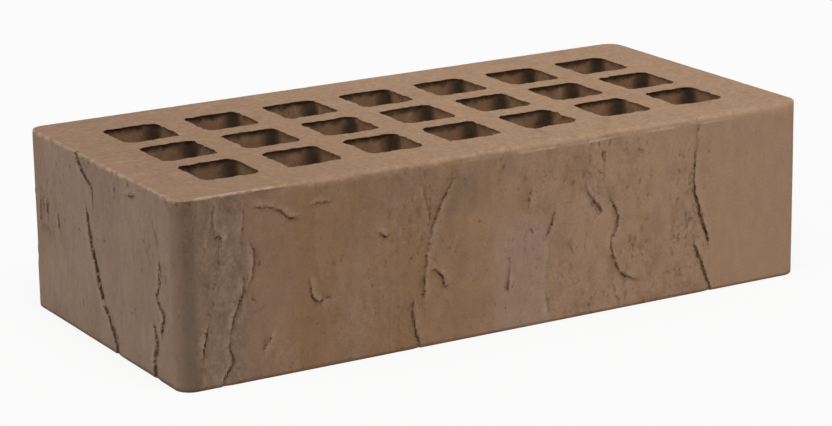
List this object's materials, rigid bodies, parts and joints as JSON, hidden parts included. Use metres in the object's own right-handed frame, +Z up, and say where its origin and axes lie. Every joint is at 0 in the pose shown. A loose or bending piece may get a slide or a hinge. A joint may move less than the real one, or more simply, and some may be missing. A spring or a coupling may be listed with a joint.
{
  "type": "perforated clay brick",
  "caption": "Perforated facing brick of brown fired clay with round upright corners and a torn, bark-like face and ends, laid in mortar on its bed faces.",
  "frame": {"origin": "middle of the lower bed face, on the floor that the brick lies on", "axes": "+X along the length, +Y from the textured face side to the back, +Z up through the perforations"},
  "size_m": [0.25, 0.12, 0.065],
  "materials": {
    "fired_clay": "matt and unglazed, torn like bark on the face and the ends, finely dragged by the wire on the beds"
  },
  "bodies": {
    "root": {"brick": "fired_clay"}
  },
  "joints": []
}
